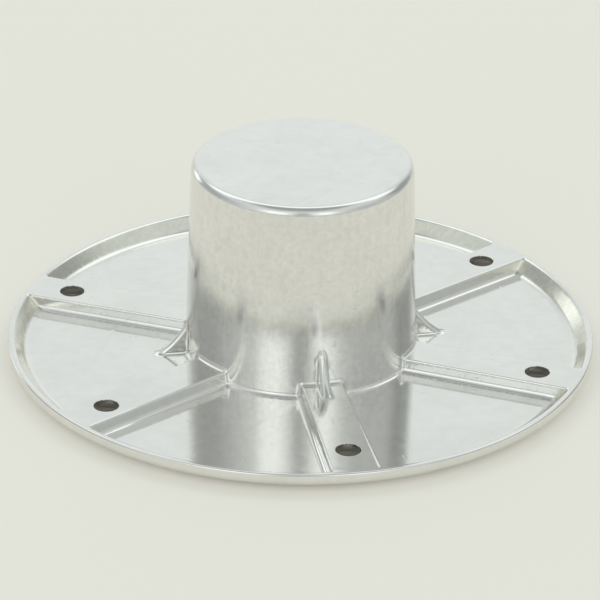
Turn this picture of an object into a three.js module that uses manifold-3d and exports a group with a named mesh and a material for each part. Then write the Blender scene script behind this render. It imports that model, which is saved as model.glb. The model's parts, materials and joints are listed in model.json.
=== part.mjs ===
// Stanchion base: a round recessed deck base for a removable post, in millimetres, +Z up.
//
// The base lies deck side down, as it stands on a bench: the polished deck face is at z = 0,
// the screw strips and the rim that bear on the deck are at z = FLANGE_HEIGHT, and the closed
// post socket stands up from the middle. Two nylon bushings line the socket and guide the post.

import * as THREE from 'three';
import { mergeVertices } from 'three/addons/utils/BufferGeometryUtils.js';
import Module from 'manifold-3d';

const wasm = await Module();
wasm.setup();

// ---- driving dimensions ------------------------------------------------------------------

const INCH = 25.4;
const FLANGE_RADIUS = 4.5 * INCH; // 9 in flange
const FLANGE_HEIGHT = 7.8; // deck face to the tops of the strips and rim
const RIM_SIDE_HEIGHT = 2.8; // straight part of the outer edge
const EDGE_CURVE_WIDTH = 16; // elliptical roll of the deck face up to the edge
const RIM_TOP_WIDTH = 2.2;
const RIM_WALL_RUN = 5; // how far the sloped rim wall reaches in over the pocket depth
const POCKET_DEPTH = 5.2;

const SCREW_COUNT = 6;
const SCREW_CIRCLE_RADIUS = 96.4;
const SCREW_HOLE_RADIUS = 4.75;
const SCREW_HEAD_RADIUS = 8.2; // recess for a 5/16 in countersunk head
const SCREW_LAND = 1.6; // straight bore left above the countersink
const COUNTERSINK_HALF_ANGLE = 41; // degrees

const STRIP_INNER_HALF_WIDTH = 7.9; // at the foot of the cup
const STRIP_OUTER_HALF_WIDTH = 8.8; // at the rim
const STRIP_WALL_RUN = 0.8; // draft of the strip walls over the pocket depth

const CUP_HEIGHT = 73; // closed end above the strip tops
const CUP_FOOT_RADIUS = 44.9; // at the level of the strip tops
const CUP_END_RADIUS = 42.8; // at the closed end
const CUP_EDGE_RADIUS = 3.3;
const CUP_FOOT_FILLET = 1.8;
const CUP_WALL = 3.9;
const CUP_END_WALL = 4;

const GUSSET_THICKNESS = 3;
const GUSSET_HEIGHT = 13.2; // up the cup, above the surface that the gusset stands on
const GUSSET_RUN = 12.5; // out from the cup to the toe
const GUSSET_HOLLOW = 0.27; // share of the way that the ridge's control point sags to the corner

const POST_RADIUS = (2.875 * INCH) / 2; // 2-7/8 in post
const POST_CLEARANCE = 0.3;
const PART_GAP = 0.3; // left between two pieces that touch

const MOUTH_FLANGE_RADIUS = 43;
const MOUTH_FLANGE_THICKNESS = 2;
const MOUTH_RECESS = 0.5; // the bushing's flange sits this far inside the deck face
const MOUTH_BUSHING_HEIGHT = 22;
const HEEL_BUSHING_HEIGHT = 20;
const HEEL_LEDGE_THICKNESS = 2.5; // the post stands on this inner ledge
const HEEL_LEDGE_INNER_RADIUS = 26;
const BUSHING_SLOT_WIDTH = 3; // slit that lets a bushing close up as it is pressed in

const SEGMENTS = 96;
const BUSHING_SEGMENTS = 72;
const HOLE_SEGMENTS = 24;
const OVERCUT = 2; // how far cutters run past the surface that they open

// ---- worked out from them ----------------------------------------------------------------

const POCKET_FLOOR = FLANGE_HEIGHT - POCKET_DEPTH;
const CUP_TOP = FLANGE_HEIGHT + CUP_HEIGHT;
const SOCKET_FLOOR = CUP_TOP - CUP_END_WALL;
const CUP_DRAFT = (CUP_FOOT_RADIUS - CUP_END_RADIUS) / CUP_HEIGHT;
const BORE_RADIUS = POST_RADIUS + POST_CLEARANCE;
const STRIP_START = CUP_END_RADIUS - CUP_WALL / 2;
const STRIP_END = FLANGE_RADIUS + OVERCUT;

const cupRadius = (z) => CUP_FOOT_RADIUS - (z - FLANGE_HEIGHT) * CUP_DRAFT;
const socketRadius = (z) => cupRadius(z) - CUP_WALL;

// ---- solids and booleans -----------------------------------------------------------------

function toSolid(geometry) {
  const bare = geometry.index ? geometry.toNonIndexed() : geometry.clone();
  bare.deleteAttribute('normal');
  bare.deleteAttribute('uv');
  const merged = mergeVertices(bare, 1e-4);
  return new wasm.Manifold(
    new wasm.Mesh({
      numProp: 3,
      vertProperties: new Float32Array(merged.attributes.position.array),
      triVerts: new Uint32Array(merged.index.array),
    }),
  );
}

function toGeometry(solid) {
  const mesh = solid.getMesh();
  const geometry = new THREE.BufferGeometry();
  geometry.setAttribute('position', new THREE.BufferAttribute(mesh.vertProperties, mesh.numProp));
  geometry.setIndex(new THREE.BufferAttribute(mesh.triVerts, 1));
  geometry.computeVertexNormals();
  return geometry;
}

// Points on an arc in the (radius, z) plane, angles in degrees.
function arc(centreRadius, centreZ, radius, from, to, steps) {
  const points = [];
  for (let i = 0; i <= steps; i += 1) {
    const angle = THREE.MathUtils.degToRad(from + ((to - from) * i) / steps);
    points.push([centreRadius + radius * Math.cos(angle), centreZ + radius * Math.sin(angle)]);
  }
  return points;
}

// A solid of revolution about Z from a profile of (radius, z) points, lowest point first and
// running anticlockwise: out along the underside, up the outside and back over the top.
function turned(profile, segments = SEGMENTS) {
  const points = profile.map(([radius, z]) => new THREE.Vector2(radius, z));
  if (points[0].x > 0) {
    points.push(points[0].clone());
  }
  const lathe = new THREE.LatheGeometry(points, segments);
  lathe.rotateX(Math.PI / 2);
  return toSolid(lathe);
}

// A flat outline in the (radius, z) plane, given a thickness across the radius and centred on it.
function radialPlate(outline, thickness) {
  const shape = new THREE.Shape(outline.map(([radius, z]) => new THREE.Vector2(radius, z)));
  const plate = new THREE.ExtrudeGeometry(shape, { depth: thickness, bevelEnabled: false, steps: 1 });
  plate.translate(0, 0, -thickness / 2);
  plate.rotateX(Math.PI / 2);
  return toSolid(plate);
}

const spun = (solid, degrees) => solid.rotate([0, 0, degrees]);

function around(count, startDegrees, make) {
  return Array.from({ length: count }, (_, i) => spun(make(), startDegrees + (i * 360) / count));
}

// ---- base casting ------------------------------------------------------------------------

// The flange before its pockets are cut: flat deck face, elliptical roll, straight side.
function flangeDisc() {
  const sideStart = FLANGE_HEIGHT - RIM_SIDE_HEIGHT;
  const curveSteps = 6;
  const profile = [[0, 0]];
  for (let i = 0; i <= curveSteps; i += 1) {
    const angle = (i / curveSteps) * (Math.PI / 2);
    const radius = FLANGE_RADIUS - EDGE_CURVE_WIDTH * (1 - Math.sin(angle));
    profile.push([radius, sideStart * (1 - Math.cos(angle))]);
  }
  const bevel = 0.4;
  profile.push([FLANGE_RADIUS, FLANGE_HEIGHT - bevel]);
  profile.push([FLANGE_RADIUS - bevel, FLANGE_HEIGHT]);
  profile.push([0, FLANGE_HEIGHT]);
  return turned(profile);
}

// One strip that stays between two pockets, wider at its foot than at its top.
function strip() {
  const top = FLANGE_HEIGHT + OVERCUT;
  const runPerHeight = STRIP_WALL_RUN / POCKET_DEPTH;
  const corners = [];
  for (const [radius, halfTop] of [
    [STRIP_START, STRIP_INNER_HALF_WIDTH],
    [STRIP_END, STRIP_OUTER_HALF_WIDTH],
  ]) {
    const halfFoot = halfTop + STRIP_WALL_RUN + OVERCUT * runPerHeight;
    const halfHead = halfTop - OVERCUT * runPerHeight;
    corners.push([radius, -halfFoot, POCKET_FLOOR - OVERCUT]);
    corners.push([radius, halfFoot, POCKET_FLOOR - OVERCUT]);
    corners.push([radius, halfHead, top]);
    corners.push([radius, -halfHead, top]);
  }
  const geometry = new THREE.BufferGeometry();
  geometry.setAttribute('position', new THREE.Float32BufferAttribute(corners.flat(), 3));
  const quads = [
    [0, 3, 2, 1],
    [4, 5, 6, 7],
    [0, 1, 5, 4],
    [1, 2, 6, 5],
    [2, 3, 7, 6],
    [3, 0, 4, 7],
  ];
  geometry.setIndex(quads.flatMap(([a, b, c, d]) => [a, b, c, a, c, d]));
  return toSolid(geometry);
}

// The ring-shaped pan that the strips divide into six pockets.
function pan() {
  const rimInside = FLANGE_RADIUS - RIM_TOP_WIDTH;
  const runPerHeight = RIM_WALL_RUN / POCKET_DEPTH;
  const innerRadius = CUP_FOOT_RADIUS - CUP_WALL / 2;
  return turned([
    [innerRadius, POCKET_FLOOR],
    [rimInside - RIM_WALL_RUN, POCKET_FLOOR],
    [rimInside + OVERCUT * runPerHeight, FLANGE_HEIGHT + OVERCUT],
    [innerRadius, FLANGE_HEIGHT + OVERCUT],
  ]);
}

// The outside of the cup, from inside the skin of the pocket floor to the closed end.
function cupBody() {
  const foot = POCKET_FLOOR;
  const edgeCentreRadius = CUP_END_RADIUS - CUP_EDGE_RADIUS;
  return turned([
    [0, foot - 1],
    [cupRadius(foot) + CUP_FOOT_FILLET, foot - 1],
    ...arc(
      cupRadius(foot) + CUP_FOOT_FILLET,
      foot + CUP_FOOT_FILLET,
      CUP_FOOT_FILLET,
      -90,
      -180,
      3,
    ),
    ...arc(edgeCentreRadius, CUP_TOP - CUP_EDGE_RADIUS, CUP_EDGE_RADIUS, 0, 90, 4),
    [0, CUP_TOP],
  ]);
}

// The hollow for the post and its bushings, with a counterbore for the mouth bushing's flange.
function socketCutter() {
  const seat = MOUTH_RECESS + MOUTH_FLANGE_THICKNESS + PART_GAP;
  const seatRadius = MOUTH_FLANGE_RADIUS + PART_GAP;
  const rounding = 3;
  return turned([
    [0, -OVERCUT],
    [seatRadius, -OVERCUT],
    [seatRadius, seat],
    [socketRadius(seat), seat],
    [socketRadius(SOCKET_FLOOR - rounding), SOCKET_FLOOR - rounding],
    [socketRadius(SOCKET_FLOOR) - rounding, SOCKET_FLOOR],
    [0, SOCKET_FLOOR],
  ]);
}

function screwHoleCutter() {
  const coneTop = FLANGE_HEIGHT - SCREW_LAND;
  const tangent = Math.tan(THREE.MathUtils.degToRad(COUNTERSINK_HALF_ANGLE));
  const coneDepth = (SCREW_HEAD_RADIUS - SCREW_HOLE_RADIUS) / tangent;
  const cutter = turned(
    [
      [0, -OVERCUT],
      [SCREW_HEAD_RADIUS, -OVERCUT],
      [SCREW_HEAD_RADIUS, coneTop - coneDepth],
      [SCREW_HOLE_RADIUS, coneTop],
      [SCREW_HOLE_RADIUS, FLANGE_HEIGHT + OVERCUT],
      [0, FLANGE_HEIGHT + OVERCUT],
    ],
    HOLE_SEGMENTS,
  );
  return cutter.translate([SCREW_CIRCLE_RADIUS, 0, 0]);
}

// A triangular fin at the foot of the cup, standing on the surface at the given height. Its ridge
// is hollowed in slightly.
function gusset(standsOn) {
  const buried = standsOn - 1;
  const topZ = standsOn + GUSSET_HEIGHT;
  const inside = cupRadius(topZ) - CUP_WALL / 2;
  const ridgeTop = new THREE.Vector2(cupRadius(topZ), topZ);
  const toe = new THREE.Vector2(cupRadius(standsOn) + GUSSET_RUN, standsOn);
  const middle = ridgeTop.clone().lerp(toe, 0.5);
  const corner = new THREE.Vector2(cupRadius(standsOn), standsOn);
  const control = middle.lerp(corner, GUSSET_HOLLOW);
  const ridge = new THREE.QuadraticBezierCurve(toe, control, ridgeTop);
  const outline = ridge.getPoints(5).map((point) => [point.x, point.y]);
  return radialPlate([[inside, topZ], [inside, buried], [toe.x, buried], ...outline], GUSSET_THICKNESS);
}

function baseCasting() {
  const strips = wasm.Manifold.union(around(SCREW_COUNT, 30, strip));
  const pockets = pan().subtract(strips);
  const pocketGussets = around(2, 0, () => gusset(POCKET_FLOOR));
  const stripGussets = around(2, 90, () => gusset(FLANGE_HEIGHT));
  const flange = flangeDisc().subtract(pockets);
  const solid = wasm.Manifold.union([flange, cupBody(), ...pocketGussets, ...stripGussets]);
  const holes = around(SCREW_COUNT, 30, screwHoleCutter);
  return solid.subtract(wasm.Manifold.union([socketCutter(), ...holes]));
}

// ---- bushings ----------------------------------------------------------------------------

// A slit through one side of a bushing, from its lowest to its highest point.
function bushingSlot(outerRadius, bottom, top) {
  const box = new THREE.BoxGeometry(outerRadius + OVERCUT, BUSHING_SLOT_WIDTH, top - bottom + 2 * OVERCUT);
  box.translate((outerRadius + OVERCUT) / 2, 0, (top + bottom) / 2);
  return toSolid(box);
}

function mouthBushing() {
  const bottom = MOUTH_RECESS;
  const shoulder = bottom + MOUTH_FLANGE_THICKNESS;
  const top = bottom + MOUTH_BUSHING_HEIGHT;
  const leadIn = 1;
  const profile = [
    [BORE_RADIUS + leadIn, bottom],
    [MOUTH_FLANGE_RADIUS, bottom],
    [MOUTH_FLANGE_RADIUS, shoulder],
    [socketRadius(shoulder) - PART_GAP, shoulder],
    [socketRadius(top) - PART_GAP, top - leadIn],
    [socketRadius(top) - PART_GAP - leadIn, top],
    [BORE_RADIUS, top],
    [BORE_RADIUS, bottom + leadIn],
  ];
  const ring = turned(profile, BUSHING_SEGMENTS);
  return ring.subtract(spun(bushingSlot(MOUTH_FLANGE_RADIUS, bottom, top), 90));
}

function heelBushing() {
  const top = SOCKET_FLOOR - PART_GAP;
  const bottom = top - HEEL_BUSHING_HEIGHT;
  const corner = 3;
  const leadIn = 1;
  const profile = [
    [BORE_RADIUS + leadIn, bottom],
    [socketRadius(bottom) - PART_GAP, bottom],
    [socketRadius(top - corner) - PART_GAP, top - corner],
    [socketRadius(top) - PART_GAP - corner, top],
    [HEEL_LEDGE_INNER_RADIUS, top],
    [HEEL_LEDGE_INNER_RADIUS, top - HEEL_LEDGE_THICKNESS],
    [BORE_RADIUS, top - HEEL_LEDGE_THICKNESS],
    [BORE_RADIUS, bottom + leadIn],
  ];
  return turned(profile, BUSHING_SEGMENTS);
}

// ---- the assembly ------------------------------------------------------------------------

const castAluminium = { color: 0xc9cdca, roughness: 0.3, metalness: 1 };
const nylon = { color: 0x1c1d1f, roughness: 0.55, metalness: 0 };

const assembly = new THREE.Group();
for (const [name, solid, finish] of [
  ['base_casting', baseCasting(), castAluminium],
  ['mouth_bushing', mouthBushing(), nylon],
  ['heel_bushing', heelBushing(), nylon],
]) {
  const mesh = new THREE.Mesh(toGeometry(solid), new THREE.MeshStandardMaterial(finish));
  mesh.name = name;
  assembly.add(mesh);
}

export default assembly;
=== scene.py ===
"""Looks of a round recessed stanchion base: one bright aluminium die casting and two nylon bushings.

Each piece is described by a distance function in millimetres, negative inside the material, so
that every edge and every foot carries the rounding of the real casting. The function is sampled
on a grid, meshed, and each vertex is then moved onto the exact surface.
"""

import json
import math

import bmesh
import bpy
import numpy as np
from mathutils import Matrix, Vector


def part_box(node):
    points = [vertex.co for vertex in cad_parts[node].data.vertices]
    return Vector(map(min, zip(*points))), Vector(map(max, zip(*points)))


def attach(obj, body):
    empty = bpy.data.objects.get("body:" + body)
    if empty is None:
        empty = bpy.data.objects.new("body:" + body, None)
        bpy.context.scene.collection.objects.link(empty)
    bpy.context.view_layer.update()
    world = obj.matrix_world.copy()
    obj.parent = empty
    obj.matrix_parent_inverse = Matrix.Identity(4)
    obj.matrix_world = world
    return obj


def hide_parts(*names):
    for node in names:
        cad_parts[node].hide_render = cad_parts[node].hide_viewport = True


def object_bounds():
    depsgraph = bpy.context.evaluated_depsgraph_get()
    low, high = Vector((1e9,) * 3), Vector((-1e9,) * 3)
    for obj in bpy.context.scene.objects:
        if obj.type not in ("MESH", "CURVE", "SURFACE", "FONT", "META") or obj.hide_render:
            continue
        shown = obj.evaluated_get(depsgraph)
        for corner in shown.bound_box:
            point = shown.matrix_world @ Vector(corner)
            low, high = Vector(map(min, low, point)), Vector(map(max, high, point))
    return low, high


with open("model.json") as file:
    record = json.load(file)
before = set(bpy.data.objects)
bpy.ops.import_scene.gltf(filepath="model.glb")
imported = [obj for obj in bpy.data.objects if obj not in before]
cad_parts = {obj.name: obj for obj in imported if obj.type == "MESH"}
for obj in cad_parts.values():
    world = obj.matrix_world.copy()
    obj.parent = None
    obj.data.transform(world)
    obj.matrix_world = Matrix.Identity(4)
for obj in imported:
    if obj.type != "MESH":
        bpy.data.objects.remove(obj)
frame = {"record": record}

import openvdb as vdb
from mathutils import Matrix, Vector

cad_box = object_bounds()

# ---- driving dimensions, in millimetres --------------------------------------------------------

MM = 0.001
mounts = {mount["name"]: mount for mount in frame["record"]["mounts"]}
casting_low, casting_high = (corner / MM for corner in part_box("base_casting"))
mouth_low, mouth_high = (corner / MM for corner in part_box("mouth_bushing"))
heel_low, heel_high = (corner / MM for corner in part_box("heel_bushing"))

FLANGE_RADIUS = casting_high.x
FLANGE_HEIGHT = mounts["deck_seat"]["pos_m"][2] / MM
RIM_SIDE_HEIGHT = 2.8
DECK_ROLL_WIDTH = 16.0  # elliptical roll of the deck face up to the edge
RIM_TOP_WIDTH = 2.2
RIM_WALL_RUN = 5.0
POCKET_DEPTH = 5.2
STRIP_HALF_WIDTH_AT_CUP = 7.9
STRIP_HALF_WIDTH_AT_RIM = 8.8
STRIP_WALL_RUN = 0.8

SCREW_COUNT = 6
SCREW_CIRCLE_RADIUS = 96.4
SCREW_HOLE_RADIUS = 4.75
SCREW_HEAD_RADIUS = 8.2
SCREW_LAND = 1.6
COUNTERSINK_HALF_ANGLE = math.radians(41)

CUP_TOP = casting_high.z
CUP_FOOT_RADIUS = 44.9
CUP_END_RADIUS = 42.8
CUP_WALL = 3.9
CUP_END_WALL = 4.0
CUP_OVERLAP = 1.5  # how far the cup's solid runs down into the flange, below the pockets
SOCKET_CORNER_RADIUS = 3.0

GUSSET_THICKNESS = 3.0
GUSSET_HEIGHT = 13.2
GUSSET_RUN = 12.5
GUSSET_HOLLOW = 0.27  # how far the ridge sags, as a share of a straight one
GUSSET_DRAFT = 0.05
GUSSET_TOP_INSET = 0.15
GUSSET_OVERLAP = 1.2  # how far a gusset's solid runs down into what it stands on

MOUTH_FLANGE_RADIUS = mouth_high.x
MOUTH_FLANGE_THICKNESS = 2.0
POST_RADIUS = 73.025 / 2
POST_CLEARANCE = 0.3
BORE_RADIUS = POST_RADIUS + POST_CLEARANCE
PART_GAP = 0.3
BUSHING_SLOT_WIDTH = 3.0
HEEL_LEDGE_BOTTOM = mounts["post_stop"]["pos_m"][2] / MM
HEEL_LEDGE_INNER_RADIUS = 26.0
HEEL_LEDGE_OVERLAP = 1.0  # how far the ledge's ring runs out into the wall round it
LEAD_IN = 1.0

# Radii of the casting's own roundings.
CUP_EDGE_ROUND = 3.3
CUP_FOOT_FILLET = 1.8
GUSSET_RIDGE_ROUND = 1.7
GUSSET_FOOT_FILLET = 0.9
STRIP_FOOT_FILLET = 1.7
RIM_FOOT_FILLET = 1.1
FOOT_FILLET_BLEND = 6.0  # how far apart the two fillets' walls are when one fillet gives way
POCKET_CORNER_FILLET = 1.2
POCKET_EDGE_ROUND = 0.6
RIM_EDGE_ROUND = 0.8
HOLE_EDGE_ROUND = 0.25
MOUTH_EDGE_ROUND = 0.5
BUSHING_EDGE_ROUND = 0.35

POCKET_FLOOR = FLANGE_HEIGHT - POCKET_DEPTH
SOCKET_FLOOR = CUP_TOP - CUP_END_WALL
CUP_DRAFT = (CUP_FOOT_RADIUS - CUP_END_RADIUS) / (CUP_TOP - FLANGE_HEIGHT)
SECTOR = 2 * math.pi / SCREW_COUNT
FIRST_STRIP = SECTOR / 2
EDGE_MARGIN = 1.2  # room left round a piece on its grid

# How finely each piece is meshed.
CASTING_STEP = 0.3
BUSHING_STEP = 0.4
CASTING_TRIANGLES = 190000
BUSHING_TRIANGLES = 30000


# ---- distance functions ------------------------------------------------------------------------


def join(a, b, fillet):
    """Both solids, with a concave fillet where they meet."""
    near = np.hypot(np.maximum(fillet - a, 0), np.maximum(fillet - b, 0))
    return np.maximum(fillet, np.minimum(a, b)) - near


def meet(a, b, rounding):
    """What the two solids share, with its edge rounded."""
    return -join(-a, -b, rounding)


def cut(a, b, rounding):
    """Solid a without solid b, with the edge of the cut rounded."""
    return -join(-a, b, rounding)


def cup_radius(z):
    return CUP_FOOT_RADIUS - (z - FLANGE_HEIGHT) * CUP_DRAFT


def about_strip(r, angle):
    """Distances along and across the screw strip nearest to a point."""
    turn = angle - FIRST_STRIP
    turn = turn - SECTOR * np.round(turn / SECTOR)
    return r * np.cos(turn), r * np.abs(np.sin(turn))


def flange_disc(r, z):
    """The flange before its pockets are cut: flat deck face, elliptical roll, straight side."""
    side_start = FLANGE_HEIGHT - RIM_SIDE_HEIGHT
    u = np.maximum((r - FLANGE_RADIUS) / DECK_ROLL_WIDTH + 1, 0)
    v = np.maximum((side_start - z) / side_start, 0)
    reach = np.hypot(u, v)
    steepness = np.hypot(u / DECK_ROLL_WIDTH, v / side_start) + 1e-9
    roll = (reach - 1) * reach / steepness
    plain = np.where(u > 0, r - FLANGE_RADIUS, -z)
    outer = np.where((u > 0) & (v > 0), roll, plain)
    return meet(outer, z - FLANGE_HEIGHT, RIM_EDGE_ROUND)


def pockets(r, z, along, across):
    """The six hollows between the strips, inside the rim. Their walls slope in as they go down."""
    widening = (STRIP_HALF_WIDTH_AT_RIM - STRIP_HALF_WIDTH_AT_CUP) / (FLANGE_RADIUS - CUP_FOOT_RADIUS)
    half_width = STRIP_HALF_WIDTH_AT_CUP + widening * (along - CUP_FOOT_RADIUS)
    # 0 at the tops of the strips and 1 at the pockets' floor; the walls run on a little beyond it.
    depth = np.clip((FLANGE_HEIGHT - z) / POCKET_DEPTH, -1, 1.3)
    strip = across - half_width - STRIP_WALL_RUN * depth
    strip = strip / math.hypot(1, STRIP_WALL_RUN / POCKET_DEPTH)
    rim = FLANGE_RADIUS - RIM_TOP_WIDTH - RIM_WALL_RUN * depth - r
    rim = rim / math.hypot(1, RIM_WALL_RUN / POCKET_DEPTH)
    plan = meet(-strip, -rim, POCKET_CORNER_FILLET)
    nearer_rim = np.clip(0.5 + (strip - rim) / FOOT_FILLET_BLEND, 0, 1)
    foot = STRIP_FOOT_FILLET + (RIM_FOOT_FILLET - STRIP_FOOT_FILLET) * nearer_rim
    return meet(plan, POCKET_FLOOR - z, foot)


def cup(r, z):
    """The closed cup as a solid body; the socket is cut out of it later."""
    side = (r - cup_radius(z)) / math.hypot(1, CUP_DRAFT)
    body = meet(side, z - CUP_TOP, CUP_EDGE_ROUND)
    return np.maximum(body, POCKET_FLOOR - CUP_OVERLAP - z)


def gusset(x, y, z, angle, stands_on):
    """A triangular fin at the foot of the cup, its ridge hollowed in slightly."""
    out = x * math.cos(angle) + y * math.sin(angle)
    across = np.abs(y * math.cos(angle) - x * math.sin(angle))
    start = cup_radius(stands_on + GUSSET_HEIGHT)
    run = cup_radius(stands_on) + GUSSET_RUN - start
    share = np.clip((out - start) / run, -1, 1)
    beyond = np.maximum((out - start) / run - 1, 0)
    sag = GUSSET_HOLLOW * 2 * share * (1 - share)
    ridge = stands_on + GUSSET_HEIGHT * (1 - share - sag - beyond)
    slope = GUSSET_HEIGHT / run * (1 + GUSSET_HOLLOW * 2 * (1 - 2 * share))
    top = (z - ridge) / np.hypot(1, slope)
    draft = GUSSET_DRAFT * (stands_on + GUSSET_HEIGHT - z)
    side = across - GUSSET_THICKNESS / 2 + GUSSET_TOP_INSET - draft
    fin = meet(top, side, GUSSET_RIDGE_ROUND)
    fin = np.maximum(fin, CUP_END_RADIUS - CUP_WALL - out)
    return np.maximum(fin, stands_on - GUSSET_OVERLAP - z)


def socket_side(r, z, gap=0.0):
    """The tapered hollow of the cup, or a body that stands a gap clear of its wall."""
    return (r - cup_radius(z) + CUP_WALL + gap) / math.hypot(1, CUP_DRAFT)


def socket(r, z):
    """The hollow for the post and its bushings, with the recess for the mouth bushing's flange."""
    bore = meet(socket_side(r, z), z - SOCKET_FLOOR, SOCKET_CORNER_RADIUS)
    seat = mouth_low.z + MOUTH_FLANGE_THICKNESS + PART_GAP
    recess = np.maximum(r - MOUTH_FLANGE_RADIUS - PART_GAP, z - seat)
    return np.minimum(bore, recess)


def screw_hole(along, across, z):
    """A hole countersunk from the deck face."""
    off_axis = np.hypot(along - SCREW_CIRCLE_RADIUS, across)
    cone_radius = SCREW_HOLE_RADIUS + (FLANGE_HEIGHT - SCREW_LAND - z) * math.tan(COUNTERSINK_HALF_ANGLE)
    cone = (off_axis - cone_radius) * math.cos(COUNTERSINK_HALF_ANGLE)
    head = np.maximum(cone, off_axis - SCREW_HEAD_RADIUS)
    return np.minimum(off_axis - SCREW_HOLE_RADIUS, head)


def casting(points):
    """The whole casting. Gussets stand on the strips at the front and back, and in the side pockets."""
    x, y, z = np.moveaxis(points, -1, 0)
    r = np.hypot(x, y)
    along, across = about_strip(r, np.arctan2(y, x))
    body = cut(flange_disc(r, z), pockets(r, z, along, across), POCKET_EDGE_ROUND)
    body = join(body, cup(r, z), CUP_FOOT_FILLET)
    for quarter in range(4):
        stands_on = FLANGE_HEIGHT if quarter % 2 else POCKET_FLOOR
        fin = gusset(x, y, z, quarter * math.pi / 2, stands_on)
        body = join(body, fin, GUSSET_FOOT_FILLET)
    body = cut(body, socket(r, z), MOUTH_EDGE_ROUND)
    return cut(body, screw_hole(along, across, z), HOLE_EDGE_ROUND)


def bushing_wall(r, z, low, high):
    """The wall that lines the socket between two levels, with lead-in chamfers on its bore."""
    ends = meet(low - z, z - high, BUSHING_EDGE_ROUND)
    tube = meet(socket_side(r, z, PART_GAP), BORE_RADIUS - r, BUSHING_EDGE_ROUND)
    wall = meet(tube, ends, BUSHING_EDGE_ROUND)
    chamfer = (BORE_RADIUS + LEAD_IN - r - np.abs(z - low)) / math.sqrt(2)
    return meet(wall, chamfer, BUSHING_EDGE_ROUND)


def mouth_bushing(points):
    """Flanged bushing in the mouth of the socket, slit on one side so that it can be pressed in."""
    x, y, z = np.moveaxis(points, -1, 0)
    r = np.hypot(x, y)
    shoulder = mouth_low.z + MOUTH_FLANGE_THICKNESS
    wall = bushing_wall(r, z, mouth_low.z, mouth_high.z)
    inner = BORE_RADIUS + LEAD_IN - (z - mouth_low.z) - r
    flange = meet(r - MOUTH_FLANGE_RADIUS, inner / math.sqrt(2), BUSHING_EDGE_ROUND)
    faces = meet(mouth_low.z - z, z - shoulder, BUSHING_EDGE_ROUND)
    flange = meet(flange, faces, BUSHING_EDGE_ROUND)
    outer_lead = r - cup_radius(z) + CUP_WALL + PART_GAP + LEAD_IN - (mouth_high.z - z)
    wall = meet(wall, outer_lead / math.sqrt(2), BUSHING_EDGE_ROUND)
    body = join(wall, flange, BUSHING_EDGE_ROUND)
    slit = np.maximum(np.abs(x) - BUSHING_SLOT_WIDTH / 2, -y)
    return cut(body, slit, BUSHING_EDGE_ROUND)


def heel_bushing(points):
    """Bushing at the closed end, with the ledge that the post stands on."""
    x, y, z = np.moveaxis(points, -1, 0)
    r = np.hypot(x, y)
    wall = bushing_wall(r, z, heel_low.z, heel_high.z)
    ends = meet(HEEL_LEDGE_BOTTOM - z, z - heel_high.z, BUSHING_EDGE_ROUND)
    ring = meet(HEEL_LEDGE_INNER_RADIUS - r, r - BORE_RADIUS - HEEL_LEDGE_OVERLAP, BUSHING_EDGE_ROUND)
    body = join(wall, meet(ring, ends, BUSHING_EDGE_ROUND), BUSHING_EDGE_ROUND)
    corner = meet(socket_side(r, z, PART_GAP), z - heel_high.z, SOCKET_CORNER_RADIUS)
    return np.maximum(body, corner)


# ---- from a distance function to a mesh --------------------------------------------------------

BLOCK = 8  # grid points along one side of a block
BLOCKS_AT_ONCE = 2000
BAND = 3.0  # how far from the surface distances are kept, in grid steps
GRADIENT_STEP = 0.02
LEAST_SLOPE = 0.05  # smaller squared slopes count as this, so that no point is thrown far
SURFACE_PASSES = 3
FLATNESS = 0.01  # how freely the mesher merges squares on flat stretches
SMOOTH_ANGLE = math.radians(38)
FOLD_ANGLE = math.radians(95)
UNFOLD_ROUNDS = 6


def sampled(shape, low, step, blocks):
    """The shape's distances on a grid of blocks, worked out only in blocks near its surface."""
    centres = [low[i] + step * (BLOCK * (np.arange(blocks[i]) + 0.5) - 0.5) for i in range(3)]
    coarse = shape(np.stack(np.meshgrid(*centres, indexing="ij"), -1))
    band = BAND * step
    values = np.where(coarse > 0, band, -band).astype(np.float32)
    for axis in range(3):
        values = np.repeat(values, BLOCK, axis)
    # Half a block's diagonal, and more because joined shapes are not exact distances everywhere.
    reach = step * (BLOCK * 0.5 * math.sqrt(3) * 1.15 + 2)
    near = np.argwhere(np.abs(coarse) < reach)
    inside_block = step * np.stack(np.meshgrid(*[np.arange(BLOCK)] * 3, indexing="ij"), -1)
    for start in range(0, len(near), BLOCKS_AT_ONCE):
        chosen = near[start : start + BLOCKS_AT_ONCE]
        corners = low + step * BLOCK * chosen
        fine = shape(corners[:, None, None, None, :] + inside_block)
        fine = np.clip(fine, -band, band).astype(np.float32)
        for (i, j, k), block in zip(chosen * BLOCK, fine):
            values[i : i + BLOCK, j : j + BLOCK, k : k + BLOCK] = block
    return values


def polygons(shape, high, step, mirrored_in_y):
    """Points and faces of the surface. Every shape is mirrored in X, so only half is sampled."""
    low = np.array([step / 2, step / 2 if mirrored_in_y else -high[1], -EDGE_MARGIN])
    blocks = np.ceil((high - low) / (step * BLOCK)).astype(int)
    values = sampled(shape, low, step, blocks)
    for axis in (0, 1) if mirrored_in_y else (0,):
        values = np.concatenate([np.flip(values, axis), values], axis)
        low[axis] -= step * blocks[axis] * BLOCK
    grid = vdb.FloatGrid(BAND * step)
    grid.copyFromArray(values, tolerance=0.0)
    points, triangles, quads = grid.convertToPolygons(isovalue=0.0, adaptivity=FLATNESS)
    return low + points.astype(float) * step, [*triangles.tolist(), *quads.tolist()]


def gradient(shape, points):
    slopes = np.empty_like(points)
    for axis in range(3):
        offset = np.zeros(3)
        offset[axis] = GRADIENT_STEP
        slopes[:, axis] = shape(points + offset) - shape(points - offset)
    return slopes / (2 * GRADIENT_STEP)


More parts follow.
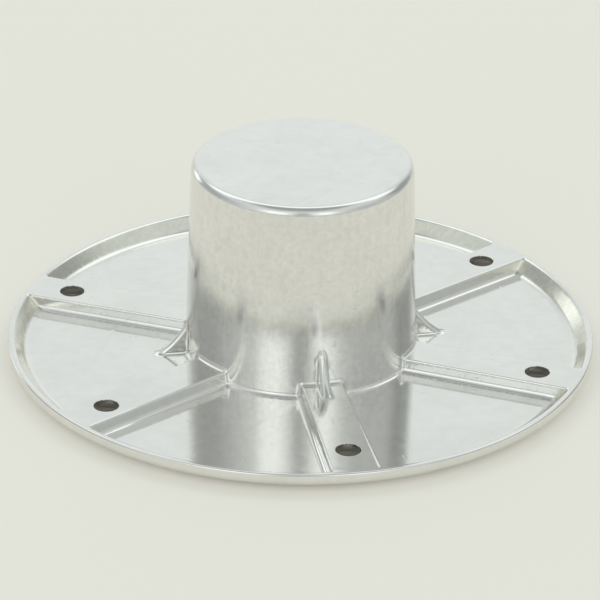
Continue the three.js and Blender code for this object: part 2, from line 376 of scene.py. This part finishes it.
def onto_surface(shape, points, step):
    """Moves points onto the surface along the slope, at most half a grid step at a time."""
    for _ in range(SURFACE_PASSES):
        slope = gradient(shape, points)
        length = np.maximum((slope**2).sum(1, keepdims=True), LEAST_SLOPE)
        move = -shape(points)[:, None] * slope / length
        size = np.linalg.norm(move, axis=1, keepdims=True)
        points = points + move * np.minimum(1, 0.5 * step / np.maximum(size, 1e-9))
    return points


def read(items, name, width, kind=np.float32):
    """One property of a mesh's vertices, faces or corners as an array."""
    flat = np.empty(len(items) * width, kind)
    items.foreach_get(name, flat)
    return flat.reshape(-1, width) if width > 1 else flat


def unit(vectors):
    return vectors / np.maximum(np.linalg.norm(vectors, axis=-1, keepdims=True), 1e-12)


def corner_normals(shape, mesh):
    """Normals for each face corner: the surface's own, or the face's where they differ much."""
    at_vertex = unit(gradient(shape, read(mesh.vertices, "co", 3).astype(float) / MM))
    at_face = unit(gradient(shape, read(mesh.polygons, "center", 3).astype(float) / MM))
    smooth = at_vertex[read(mesh.loops, "vertex_index", 1, np.int32)]
    flat = np.repeat(at_face, read(mesh.polygons, "loop_total", 1, np.int32), axis=0)
    close = (smooth * flat).sum(1) > math.cos(SMOOTH_ANGLE)
    return np.where(close[:, None], smooth, flat)


def thinned(mesh, most_triangles):
    """The mesh with its flattest triangles collapsed until few enough are left."""
    triangles = sum(read(mesh.polygons, "loop_total", 1, np.int32) - 2)
    piece = bpy.data.objects.new(mesh.name, mesh)
    bpy.context.scene.collection.objects.link(piece)
    if triangles > most_triangles:
        collapse = piece.modifiers.new("collapse", "DECIMATE")
        collapse.ratio = most_triangles / triangles
    evaluated = piece.evaluated_get(bpy.context.evaluated_depsgraph_get())
    result = bpy.data.meshes.new_from_object(evaluated)
    bpy.data.objects.remove(piece)
    return result


def in_order(parts):
    """The distinct parts of a mesh in its own order, so that every run treats them alike."""
    return sorted(set(parts), key=lambda part: part.index)


def unfold(mesh):
    """Turns the edges of the few thin triangles that were folded over, so that they lie flat."""
    work = bmesh.new()
    work.from_mesh(mesh)
    for _ in range(UNFOLD_ROUNDS):
        for turning in (False, True):
            work.faces.index_update()
            work.edges.index_update()
            folds = [edge for edge in work.edges if edge.calc_face_angle(0) > FOLD_ANGLE]
            if not folds:
                break
            if turning:
                folded = in_order(face for fold in folds for face in fold.link_faces)
                edges = in_order(edge for face in folded for edge in face.edges)
                faces = in_order(face for edge in edges for face in edge.link_faces)
                bmesh.ops.beautify_fill(work, faces=faces, edges=edges, method="ANGLE")
            else:
                corners = [corner for fold in folds for corner in fold.verts]
                faces = in_order(face for corner in corners for face in corner.link_faces)
                bmesh.ops.triangulate(work, faces=faces)
    work.to_mesh(mesh)
    work.free()


def modelled(name, shape, high, step, most_triangles, mirrored_in_y):
    """A mesh object of the shape, in metres, in the frame's own axes."""
    points, faces = polygons(shape, np.array(high) + EDGE_MARGIN, step, mirrored_in_y)
    mesh = bpy.data.meshes.new("first_" + name)
    mesh.from_pydata((onto_surface(shape, points, step) * MM).tolist(), [], faces)
    mesh = thinned(mesh, most_triangles)
    points = onto_surface(shape, read(mesh.vertices, "co", 3).astype(float) / MM, step)
    mesh.vertices.foreach_set("co", (points * MM).astype(np.float32).ravel())
    unfold(mesh)
    mesh.validate()
    mesh.shade_smooth()
    mesh.normals_split_custom_set(corner_normals(shape, mesh).tolist())
    piece = bpy.data.objects.new(name, mesh)
    bpy.context.scene.collection.objects.link(piece)
    return piece


# ---- materials ---------------------------------------------------------------------------------


def new_material(name):
    material = bpy.data.materials.new(name)
    material.use_nodes = True
    return material


class Nodes:
    """Short calls for building a node tree."""

    def __init__(self, tree):
        self.tree = tree
        self.shader = tree.nodes.get("Principled BSDF")

    def add(self, kind, **settings):
        node = self.tree.nodes.new("ShaderNode" + kind)
        for key, value in settings.items():
            setattr(node, key, value)
        return node

    def link(self, source, target):
        self.tree.links.new(source, target)

    def fed(self, kind, inputs, **settings):
        """A node with its inputs set to numbers or linked to other outputs."""
        node = self.add(kind, **settings)
        for key, value in inputs.items():
            if isinstance(value, bpy.types.NodeSocket):
                self.link(value, node.inputs[key])
            else:
                node.inputs[key].default_value = value
        return node

    def maths(self, operation, a, b=0.0):
        return self.fed("Math", {0: a, 1: b}, operation=operation).outputs[0]

    def product(self, first, *others):
        result = first
        for other in others:
            result = self.maths("MULTIPLY", result, other)
        return result

    def total(self, *terms):
        """The sum of pairs of a value and its weight."""
        weighted = [self.product(*term) for term in terms]
        result = weighted[0]
        for term in weighted[1:]:
            result = self.maths("ADD", result, term)
        return result

    def noise(self, coordinates, scale, detail=2.0, roughness=0.5):
        inputs = {"Vector": coordinates, "Scale": scale, "Detail": detail, "Roughness": roughness}
        return self.fed("TexNoise", inputs).outputs["Fac"]

    def stretched(self, coordinates, scale):
        inputs = {"Vector": coordinates, "Scale": scale}
        return self.fed("Mapping", inputs, vector_type="POINT").outputs["Vector"]

    def ranged(self, value, low, high, to_low, to_high, **settings):
        inputs = {"Value": value, "From Min": low, "From Max": high, "To Min": to_low, "To Max": to_high}
        return self.fed("MapRange", inputs, **settings).outputs["Result"]

    def eased(self, value, low, high, to_low, to_high):
        return self.ranged(value, low, high, to_low, to_high, interpolation_type="SMOOTHSTEP")

    def rising(self, length, start, end):
        """0 up to the start and 1 from the end on, both in millimetres."""
        return self.eased(length, start * MM, end * MM, 0.0, 1.0)

    def falling(self, length, start, end):
        """1 up to the start and 0 from the end on, both in millimetres."""
        return self.eased(length, start * MM, end * MM, 1.0, 0.0)

    def length(self, vector):
        return self.fed("VectorMath", {0: vector}, operation="LENGTH").outputs["Value"]

    def dot(self, vector, axis):
        return self.fed("VectorMath", {0: vector, 1: axis}, operation="DOT_PRODUCT").outputs["Value"]


def cast_aluminium():
    """Bright tumbled die casting: clouds, draw marks down the cup, lines along the rim, dings."""
    material = new_material("cast_aluminium")
    nodes = Nodes(material.node_tree)
    place = nodes.add("TexCoord").outputs["Object"]
    shader = nodes.shader
    shader.inputs["Metallic"].default_value = 1.0

    cloud = nodes.noise(place, 38.0, detail=3.0, roughness=0.55)
    patches = nodes.noise(place, 170.0, detail=3.0, roughness=0.6)
    mottle = nodes.noise(place, 420.0, detail=3.0, roughness=0.7)
    speckle = nodes.noise(place, 1100.0, detail=2.0, roughness=0.6)
    down_the_cup = nodes.stretched(place, (420.0, 420.0, 26.0))
    draw_marks = nodes.noise(down_the_cup, 1.0, detail=5.0, roughness=0.7)
    scratches = nodes.noise(nodes.stretched(place, (45.0, 1500.0, 300.0)), 1.0, detail=1.0)
    hairlines = nodes.eased(scratches, 0.66, 0.72, 0.0, 1.0)
    pits = nodes.eased(nodes.noise(place, 300.0, detail=1.0), 0.745, 0.785, 0.0, 1.0)

    # The cup's side is duller, and fine lines run round the sloping inner wall of the rim.
    level = nodes.dot(place, Vector((0, 0, 1)))
    flat_place = nodes.fed("VectorMath", {0: place, 1: (1, 1, 0)}, operation="MULTIPLY").outputs[0]
    radius = nodes.length(flat_place)
    on_cup = nodes.product(
        nodes.falling(radius, CUP_FOOT_RADIUS + 0.5, CUP_FOOT_RADIUS + 2),
        nodes.falling(level, CUP_TOP - CUP_EDGE_ROUND, CUP_TOP - 1),
    )
    wall_end = FLANGE_RADIUS - RIM_TOP_WIDTH
    wall_start = wall_end - RIM_WALL_RUN
    on_wall = nodes.product(
        nodes.rising(radius, wall_start, wall_start + 0.4),
        nodes.falling(radius, wall_end - 0.2, wall_end + 0.2),
        nodes.falling(level, FLANGE_HEIGHT - 0.4, FLANGE_HEIGHT - 0.1),
        nodes.rising(level, POCKET_FLOOR - 0.15, POCKET_FLOOR),
    )
    lines = nodes.fed("TexNoise", {"W": radius, "Scale": 1500.0, "Detail": 1.0}, noise_dimensions="1D")
    rings = nodes.product(on_wall, lines.outputs["Fac"])

    streaks = nodes.product(nodes.maths("SUBTRACT", draw_marks, 0.5), 0.35)
    scuffs = nodes.maths("SUBTRACT", mottle, 0.5)
    shade = nodes.total(
        (cloud, 0.45),
        (patches, 0.4),
        (draw_marks, 0.15),
        (on_cup, streaks),
        (nodes.maths("MAXIMUM", on_cup, on_wall), scuffs),
        (hairlines, -0.12),
        (pits, -0.5),
    )
    tone = nodes.add("ValToRGB")
    tone.color_ramp.elements[0].position = 0.3
    tone.color_ramp.elements[0].color = (0.768, 0.755, 0.732, 1)
    tone.color_ramp.elements[1].position = 0.7
    tone.color_ramp.elements[1].color = (0.865, 0.85, 0.825, 1)
    nodes.link(shade, tone.inputs["Fac"])
    # Painted reflection colour: the sloping inner wall of the rim is tinted warmer than the rest of the
    # metal, for warmer light seen on it.
    painted_wall_warmth = nodes.add("Mix", data_type="RGBA", blend_type="MULTIPLY")
    nodes.link(on_wall, painted_wall_warmth.inputs["Factor"])
    nodes.link(tone.outputs["Color"], painted_wall_warmth.inputs["A"])
    painted_wall_warmth.inputs["B"].default_value = (0.98, 0.97, 0.90, 1)
    nodes.link(painted_wall_warmth.outputs["Result"], shader.inputs["Base Color"])

    rough = nodes.ranged(patches, 0.3, 0.7, 0.07, 0.12)
    grain = nodes.ranged(draw_marks, 0.3, 0.7, -0.02, 0.02)
    duller = nodes.total((on_cup, 0.08), (on_wall, 0.06))
    nodes.link(nodes.maths("ADD", nodes.maths("ADD", rough, grain), duller), shader.inputs["Roughness"])

    height = nodes.total(
        (speckle, 0.25),
        (draw_marks, 0.3),
        (patches, 1.2),
        (rings, 0.8),
        (hairlines, -0.3),
        (pits, -2.5),
    )
    bump = nodes.fed("Bump", {"Strength": 0.35, "Distance": 0.00003, "Height": height})
    nodes.link(bump.outputs["Normal"], shader.inputs["Normal"])
    return material


def moulded_nylon():
    """Black nylon with the faint even texture of its mould."""
    material = new_material("nylon")
    nodes = Nodes(material.node_tree)
    place = nodes.add("TexCoord").outputs["Object"]
    shader = nodes.shader
    grain = nodes.noise(place, 1600.0)
    cloud = nodes.noise(place, 60.0)

    tone = nodes.add("ValToRGB")
    tone.color_ramp.elements[0].color = (0.022, 0.022, 0.025, 1)
    tone.color_ramp.elements[1].color = (0.038, 0.038, 0.042, 1)
    nodes.link(cloud, tone.inputs["Fac"])
    nodes.link(tone.outputs["Color"], shader.inputs["Base Color"])
    nodes.link(nodes.ranged(cloud, 0.3, 0.7, 0.42, 0.58), shader.inputs["Roughness"])
    bump = nodes.fed("Bump", {"Strength": 0.3, "Distance": 0.00005, "Height": grain})
    nodes.link(bump.outputs["Normal"], shader.inputs["Normal"])
    return material


# ---- the stage: floor, light and camera --------------------------------------------------------

# Lengths are in metres here, apart from the camera's lens and sensor, which are in millimetres.
VIEW_AZIMUTH = math.radians(-10.9)
VIEW_ELEVATION = math.radians(27.12)
VIEW_ROLL = math.radians(0.763)
VIEW_DISTANCE = 1.556
VIEW_AIM = Vector((-0.0004, 0.0, 0.02125))
VIEW_LENS = 239.7
SENSOR = 36.0
FLOOR_RADIUS = 6.0
FLOOR_CORNERS = 64
FLOOR_DROP = 0.0002  # how far the floor lies below the base, so that the two don't share a plane
# Strength of the floor's painted glow round the base.
FLOOR_GLOW = 0.28


def direction(azimuth, elevation):
    """Unit vector from the object; azimuth 0 is the -Y side, as the camera's azimuth is."""
    flat = math.cos(elevation)
    return Vector((math.sin(azimuth) * flat, -math.cos(azimuth) * flat, math.sin(elevation)))


def add_camera():
    data = bpy.data.cameras.new("camera")
    data.sensor_width = SENSOR
    data.lens = VIEW_LENS
    camera = bpy.data.objects.new("camera", data)
    back = direction(VIEW_AZIMUTH, VIEW_ELEVATION)
    turn = back.to_track_quat("Z", "Y").to_matrix().to_4x4() @ Matrix.Rotation(VIEW_ROLL, 4, "Z")
    camera.matrix_world = Matrix.Translation(VIEW_AIM + back * VIEW_DISTANCE) @ turn
    bpy.context.scene.collection.objects.link(camera)
    bpy.context.scene.camera = camera


def add_floor():
    """A wide pale table that glows faintly all round the base but not beneath it: painted light, which
    softens the base's shadow.
    """
    mesh = bpy.data.meshes.new("floor")
    turns = np.linspace(0, 2 * math.pi, FLOOR_CORNERS, False)
    corners = [(FLOOR_RADIUS * math.cos(turn), FLOOR_RADIUS * math.sin(turn), 0) for turn in turns]
    mesh.from_pydata(corners, [], [tuple(range(FLOOR_CORNERS))])
    floor = bpy.data.objects.new("floor", mesh)
    floor.location.z = cad_box[0].z - FLOOR_DROP
    bpy.context.scene.collection.objects.link(floor)
    material = new_material("floor")
    nodes = Nodes(material.node_tree)
    nodes.shader.inputs["Base Color"].default_value = (0.68, 0.65, 0.588, 1)
    nodes.shader.inputs["Emission Color"].default_value = (0.985, 0.985, 0.90, 1)
    place = nodes.add("TexCoord").outputs["Object"]
    # Painted light: the floor's emission rises from under the flange's edge to full strength outside the
    # base.
    glow_start = (FLANGE_RADIUS - DECK_ROLL_WIDTH) * MM
    glow = nodes.eased(nodes.length(place), glow_start, FLANGE_RADIUS * MM, 0.0, FLOOR_GLOW)
    nodes.link(glow, nodes.shader.inputs["Emission Strength"])
    nodes.shader.inputs["Roughness"].default_value = 0.9
    mesh.materials.append(material)


# Soft panels of the studio, by the middle's azimuth from the camera and its elevation, the half
# width, half height and width of the soft edge, all in degrees, and the light they add.
PANELS = {
    "back_wall": dict(azimuth=180, elevation=16, half_width=30, half_height=22, edge=16, light=0.33),
    "back_band": dict(azimuth=176, elevation=57, half_width=36, half_height=11, edge=5, light=0.50),
    "front_left": dict(azimuth=-26, elevation=25, half_width=13, half_height=16, edge=9, light=0.66),
    "front_left_tail": dict(azimuth=-50, elevation=25, half_width=13, half_height=18, edge=12, light=0.18),
    "front_right": dict(azimuth=23, elevation=25, half_width=10, half_height=16, edge=9, light=0.66),
    "front_right_tail": dict(azimuth=42, elevation=25, half_width=9, half_height=16, edge=9, light=0.14),
    "camera_shade": dict(azimuth=0, elevation=30, half_width=5, half_height=34, edge=7, light=-0.06),
    "left_back_spot": dict(azimuth=-136, elevation=13, half_width=8, half_height=9, edge=5, light=0.75),
    "left_back_shade": dict(azimuth=-114, elevation=26, half_width=24, half_height=14, edge=10, light=-0.14),
    "right_back_shade": dict(azimuth=128, elevation=24, half_width=18, half_height=16, edge=10, light=-0.21),
}
# Light from all round: its level low down, what it gains higher up and loses at the ceiling, and
# the elevations between which each change comes in.
AMBIENT = 0.60
RING_LIGHT = 0.15
RING_START = (32, 44)
CEILING_SHADE = -0.33
CEILING_START = (60, 74)
LIGHT_TINT = (0.937, 1.0, 0.988, 1)


def panel_light(nodes, towards, azimuth, elevation, half_width, half_height, edge, light):
    """Light of one soft-edged panel in a direction of the studio."""
    angle = VIEW_AZIMUTH + math.radians(azimuth)
    middle = direction(angle, math.radians(elevation))
    up = direction(angle, math.radians(elevation + 90))
    side = middle.cross(up)
    shares = []
    for axis, half in ((side, half_width), (up, half_height)):
        offset = nodes.maths("ABSOLUTE", nodes.dot(towards, axis))
        ends = [math.sin(math.radians(half + sign * edge)) for sign in (-1, 1)]
        shares.append(nodes.eased(offset, ends[0], ends[1], 1.0, 0.0))
    shares.append(nodes.eased(nodes.dot(towards, middle), 0.0, 0.1, 0.0, 1.0))
    return nodes.product(light, *shares)


def add_world():
    world = bpy.data.worlds.new("studio")
    world.use_nodes = True
    nodes = Nodes(world.node_tree)
    towards = nodes.add("TexCoord").outputs["Generated"]
    height = nodes.dot(towards, Vector((0, 0, 1)))
    light = AMBIENT
    for (low, high), step in ((RING_START, RING_LIGHT), (CEILING_START, CEILING_SHADE)):
        edges = [math.sin(math.radians(elevation)) for elevation in (low, high)]
        light = nodes.maths("ADD", light, nodes.eased(height, *edges, 0.0, step))
    for settings in PANELS.values():
        light = nodes.maths("ADD", light, panel_light(nodes, towards, **settings))
    background = world.node_tree.nodes["Background"]
    background.inputs["Color"].default_value = LIGHT_TINT
    nodes.link(light, background.inputs["Strength"])
    bpy.context.scene.world = world


# ---- the scene ---------------------------------------------------------------------------------

add_camera()
add_floor()
add_world()
bpy.context.scene.view_settings.view_transform = "Standard"

metal = cast_aluminium()
nylon = moulded_nylon()

for node, shape, high, step, most_triangles, mirrored_in_y, material, finish in (
    ("base_casting", casting, casting_high, CASTING_STEP, CASTING_TRIANGLES, True, metal, "cast_aluminium"),
    ("mouth_bushing", mouth_bushing, mouth_high, BUSHING_STEP, BUSHING_TRIANGLES, False, nylon, "nylon"),
    ("heel_bushing", heel_bushing, heel_high, BUSHING_STEP, BUSHING_TRIANGLES, True, nylon, "nylon"),
):
    piece = modelled(node + "_surface", shape, high, step, most_triangles, mirrored_in_y)
    piece.data.materials.append(material)
    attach(piece, "root")
    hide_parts(node)
